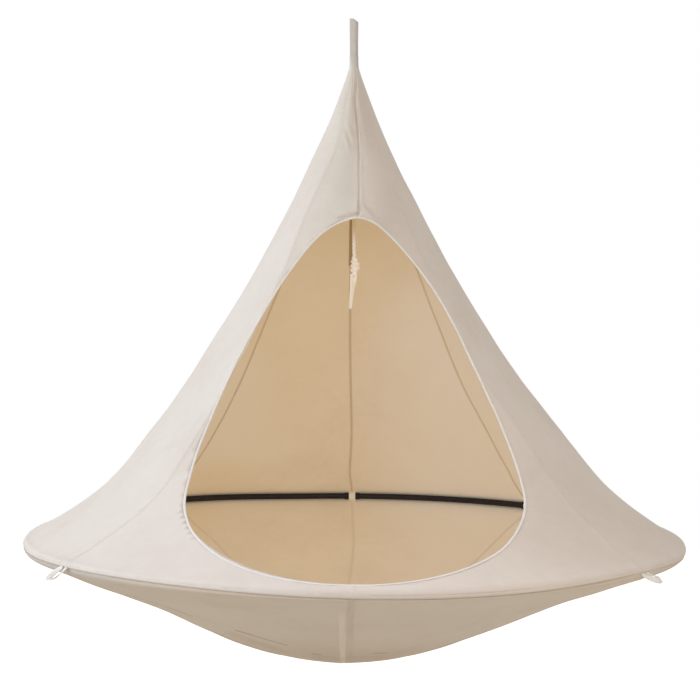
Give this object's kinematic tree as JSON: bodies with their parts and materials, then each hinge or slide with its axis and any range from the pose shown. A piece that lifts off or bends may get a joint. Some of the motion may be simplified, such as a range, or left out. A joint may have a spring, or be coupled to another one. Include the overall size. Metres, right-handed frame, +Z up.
{
  "type": "hanging tent",
  "caption": "Cone-shaped cloth hanging tent with a round metal ring at its rim, a bowl-shaped floor, an arched doorway, a webbing hanging loop, tie loops and a knotted grab rope inside.",
  "frame": {"origin": "the inside of the hanging loop's top bend, where the hook bears", "axes": "+Z up, -Y out of the doorway, +X to the right as seen from in front of the doorway"},
  "size_m": [1.4996, 1.4996, 1.5428],
  "materials": {
    "canopy_canvas": "matt natural canvas",
    "floor_canvas": "matt natural canvas",
    "seam_tape": "matt woven tape",
    "ring_tube": "satin black coat on metal tube",
    "webbing": "matt woven webbing",
    "strap_webbing": "matt woven webbing",
    "door_binding": "matt white binding tape",
    "tie_tape": "matt white cotton tape",
    "cotton_rope": "matt twisted cotton"
  },
  "bodies": {
    "strap": {"hanging_loop": "strap_webbing"},
    "neck": {"neck_wrap": "canopy_canvas"},
    "tent": {"canopy_gore_1": "canopy_canvas", "canopy_gore_2": "canopy_canvas", "canopy_gore_3": "canopy_canvas", "canopy_gore_4": "canopy_canvas", "canopy_gore_5": "canopy_canvas", "canopy_gore_6": "canopy_canvas", "canopy_gore_7": "canopy_canvas", "canopy_gore_8": "canopy_canvas", "canopy_seam_web": "seam_tape", "crown_gather": "webbing", "door_binding": "door_binding", "floor_gore_1": "floor_canvas", "floor_gore_2": "floor_canvas", "floor_gore_3": "floor_canvas", "floor_gore_4": "floor_canvas", "floor_gore_5": "floor_canvas", "floor_gore_6": "floor_canvas", "floor_gore_7": "floor_canvas", "floor_gore_8": "floor_canvas", "floor_patch": "floor_canvas", "floor_seam_web": "seam_tape", "ring_coupler_1": "ring_tube", "ring_coupler_2": "ring_tube", "ring_coupler_3": "ring_tube", "ring_coupler_4": "ring_tube", "ring_coupler_5": "ring_tube", "ring_coupler_6": "ring_tube", "ring_coupler_7": "ring_tube", "ring_coupler_8": "ring_tube", "ring_section_1": "ring_tube", "ring_section_2": "ring_tube", "ring_section_3": "ring_tube", "ring_section_4": "ring_tube", "ring_section_5": "ring_tube", "ring_section_6": "ring_tube", "ring_section_7": "ring_tube", "ring_section_8": "ring_tube", "ring_tab_1": "webbing", "ring_tab_2": "webbing", "ring_tab_3": "webbing", "ring_tab_4": "webbing", "ring_tab_5": "webbing", "ring_tab_6": "webbing", "ring_tab_7": "webbing", "rope_tab": "webbing"},
    "tie_front_left": {"tie_loop_front_left": "tie_tape"},
    "tie_front_right": {"tie_loop_front_right": "tie_tape"},
    "tie_rear_right": {"tie_loop_rear_right": "tie_tape"},
    "tie_rear_left": {"tie_loop_rear_left": "tie_tape"},
    "rope_top": {"rope_eye": "cotton_rope", "rope_whipping": "cotton_rope"},
    "rope": {"grab_rope": "cotton_rope", "rope_knot": "cotton_rope"},
    "rope_bight": {"rope_hand_loop": "cotton_rope"}
  },
  "joints": [
    {"name": "tent_swing", "type": "hinge", "parent": "strap", "child": "neck", "pos_m": [0, 0, -0.0983], "axis": [1, 0, 0], "range_deg": [-20, 20]},
    {"name": "tent_turn", "type": "hinge", "parent": "neck", "child": "tent", "pos_m": [0, 0, -0.125], "axis": [0, 0, 1], "range_deg": [-60, 60], "stiffness_Nm_per_rad": 0.05},
    {"name": "tie_flap_front_left", "type": "hinge", "parent": "tent", "child": "tie_front_left", "pos_m": [-0.53063, -0.53063, -1.24995], "axis": [0.7071, -0.7071, 0], "range_deg": [-50, 60]},
    {"name": "tie_flap_front_right", "type": "hinge", "parent": "tent", "child": "tie_front_right", "pos_m": [0.53063, -0.53063, -1.24995], "axis": [0.7071, 0.7071, 0], "range_deg": [-50, 60]},
    {"name": "tie_flap_rear_right", "type": "hinge", "parent": "tent", "child": "tie_rear_right", "pos_m": [0.53063, 0.53063, -1.24995], "axis": [-0.7071, 0.7071, 0], "range_deg": [-50, 60]},
    {"name": "tie_flap_rear_left", "type": "hinge", "parent": "tent", "child": "tie_rear_left", "pos_m": [-0.53063, 0.53063, -1.24995], "axis": [-0.7071, -0.7071, 0], "range_deg": [-50, 60]},
    {"name": "rope_swing", "type": "hinge", "parent": "tent", "child": "rope_top", "pos_m": [0, 0, -0.1838], "axis": [1, 0, 0], "range_deg": [-15, 15]},
    {"name": "rope_sway", "type": "hinge", "parent": "rope_top", "child": "rope", "pos_m": [0, 0, -0.2449], "axis": [0, 1, 0], "range_deg": [-12, 12]},
    {"name": "bight_swing", "type": "hinge", "parent": "rope", "child": "rope_bight", "pos_m": [-0.0015, 0, -0.6358], "axis": [1, 0, 0], "range_deg": [-60, 60]}
  ]
}
